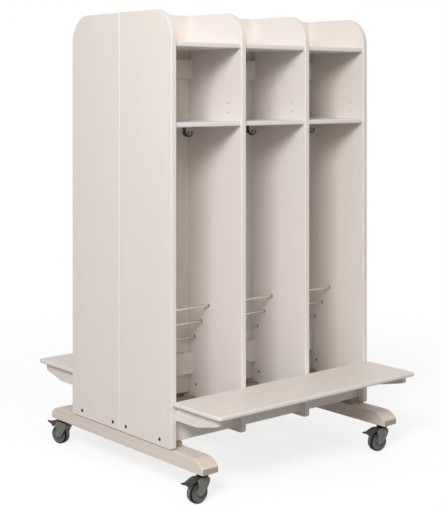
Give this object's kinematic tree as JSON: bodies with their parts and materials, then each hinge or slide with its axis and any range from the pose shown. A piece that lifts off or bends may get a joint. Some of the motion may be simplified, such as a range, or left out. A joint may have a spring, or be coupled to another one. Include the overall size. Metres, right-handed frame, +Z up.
{
  "type": "childrens cloakroom wardrobe",
  "caption": "Two-sided children's coat wardrobe on castors: open bays with hat shelves, coat hooks, boot bars and a bench along each side.",
  "frame": {"origin": "floor level under the middle of the unit, where the seam between the two halves crosses the middle of the row", "axes": "+Z up; +X along the row, to the right for someone facing the front half; +Y from the front half towards the rear half"},
  "size_m": [1.1082, 1.1566, 1.7256],
  "materials": {
    "glazed_wood": "pale glaze, satin",
    "rail_wood": "pale glaze, satin",
    "back_ply": "clear lacquer, satin",
    "foot_timber": "clear lacquer, satin",
    "bar_steel": "bright drawn",
    "castor_steel": "zinc plated",
    "castor_plastic": "moulded, satin",
    "wheel_rubber": "moulded, matt"
  },
  "bodies": {
    "cabinet": {"front_left_end_upright": "glazed_wood", "front_left_bench_bracket": "glazed_wood", "front_right_end_upright": "glazed_wood", "front_right_bench_bracket": "glazed_wood", "front_partition_1": "glazed_wood", "front_partition_2": "glazed_wood", "front_top_shelf_1": "glazed_wood", "front_hat_shelf_1": "glazed_wood", "front_top_shelf_2": "glazed_wood", "front_hat_shelf_2": "glazed_wood", "front_top_shelf_3": "glazed_wood", "front_hat_shelf_3": "glazed_wood", "front_back_board": "back_ply", "front_upper_rail": "rail_wood", "front_lower_rail": "rail_wood", "front_hook_rail": "rail_wood", "front_boot_bar_1": "bar_steel", "front_boot_bar_2": "bar_steel", "front_boot_bar_3": "bar_steel", "front_bench": "glazed_wood", "front_apron": "glazed_wood", "rear_left_end_upright": "glazed_wood", "rear_left_bench_bracket": "glazed_wood", "rear_right_end_upright": "glazed_wood", "rear_right_bench_bracket": "glazed_wood", "rear_partition_1": "glazed_wood", "rear_partition_2": "glazed_wood", "rear_top_shelf_1": "glazed_wood", "rear_hat_shelf_1": "glazed_wood", "rear_top_shelf_2": "glazed_wood", "rear_hat_shelf_2": "glazed_wood", "rear_top_shelf_3": "glazed_wood", "rear_hat_shelf_3": "glazed_wood", "rear_back_board": "back_ply", "rear_upper_rail": "rail_wood", "rear_lower_rail": "rail_wood", "rear_hook_rail": "rail_wood", "rear_boot_bar_1": "bar_steel", "rear_boot_bar_2": "bar_steel", "rear_boot_bar_3": "bar_steel", "rear_bench": "glazed_wood", "rear_apron": "glazed_wood", "left_foot_beam": "foot_timber", "right_foot_beam": "foot_timber", "front_left_castor_plate": "castor_steel", "front_right_castor_plate": "castor_steel", "rear_left_castor_plate": "castor_steel", "rear_right_castor_plate": "castor_steel"},
    "front_left_swivel": {"front_left_castor_fork": "castor_plastic"},
    "front_left_wheel": {"front_left_castor_wheel": "wheel_rubber"},
    "front_left_pedal": {"front_left_brake_pedal": "castor_plastic"},
    "front_right_swivel": {"front_right_castor_fork": "castor_plastic"},
    "front_right_wheel": {"front_right_castor_wheel": "wheel_rubber"},
    "front_right_pedal": {"front_right_brake_pedal": "castor_plastic"},
    "rear_left_swivel": {"rear_left_castor_fork": "castor_plastic"},
    "rear_left_wheel": {"rear_left_castor_wheel": "wheel_rubber"},
    "rear_left_pedal": {"rear_left_brake_pedal": "castor_plastic"},
    "rear_right_swivel": {"rear_right_castor_fork": "castor_plastic"},
    "rear_right_wheel": {"rear_right_castor_wheel": "wheel_rubber"},
    "rear_right_pedal": {"rear_right_brake_pedal": "castor_plastic"}
  },
  "joints": [
    {"name": "front_left_swivel_turn", "type": "hinge", "parent": "cabinet", "child": "front_left_swivel", "pos_m": [-0.462, -0.44, 0.084], "axis": [0, 0, 1], "continuous": true},
    {"name": "front_left_wheel_roll", "type": "hinge", "parent": "front_left_swivel", "child": "front_left_wheel", "pos_m": [-0.48599, -0.43916, 0.03753], "axis": [-0.0349, -0.9994, 0], "continuous": true},
    {"name": "front_left_pedal_tip", "type": "hinge", "parent": "front_left_swivel", "child": "front_left_pedal", "pos_m": [-0.48898, -0.43906, 0.081], "axis": [-0.0349, -0.9994, 0], "range_deg": [0, 9]},
    {"name": "front_right_swivel_turn", "type": "hinge", "parent": "cabinet", "child": "front_right_swivel", "pos_m": [0.462, -0.44, 0.084], "axis": [0, 0, 1], "continuous": true},
    {"name": "front_right_wheel_roll", "type": "hinge", "parent": "front_right_swivel", "child": "front_right_wheel", "pos_m": [0.43852, -0.43501, 0.03753], "axis": [-0.2079, -0.9781, 0], "continuous": true},
    {"name": "front_right_pedal_tip", "type": "hinge", "parent": "front_right_swivel", "child": "front_right_pedal", "pos_m": [0.43559, -0.43439, 0.081], "axis": [-0.2079, -0.9781, 0], "range_deg": [0, 9]},
    {"name": "rear_left_swivel_turn", "type": "hinge", "parent": "cabinet", "child": "rear_left_swivel", "pos_m": [-0.462, 0.44, 0.084], "axis": [0, 0, 1], "continuous": true},
    {"name": "rear_left_wheel_roll", "type": "hinge", "parent": "rear_left_swivel", "child": "rear_left_wheel", "pos_m": [-0.46862, 0.46307, 0.03753], "axis": [-0.9613, -0.2756, 0], "continuous": true},
    {"name": "rear_left_pedal_tip", "type": "hinge", "parent": "rear_left_swivel", "child": "rear_left_pedal", "pos_m": [-0.46944, 0.46595, 0.081], "axis": [-0.9613, -0.2756, 0], "range_deg": [0, 9]},
    {"name": "rear_right_swivel_turn", "type": "hinge", "parent": "cabinet", "child": "rear_right_swivel", "pos_m": [0.462, 0.44, 0.084], "axis": [0, 0, 1], "continuous": true},
    {"name": "rear_right_wheel_roll", "type": "hinge", "parent": "rear_right_swivel", "child": "rear_right_wheel", "pos_m": [0.48599, 0.43916, 0.03753], "axis": [0.0349, 0.9994, 0], "continuous": true},
    {"name": "rear_right_pedal_tip", "type": "hinge", "parent": "rear_right_swivel", "child": "rear_right_pedal", "pos_m": [0.48898, 0.43906, 0.081], "axis": [0.0349, 0.9994, 0], "range_deg": [0, 9]}
  ]
}
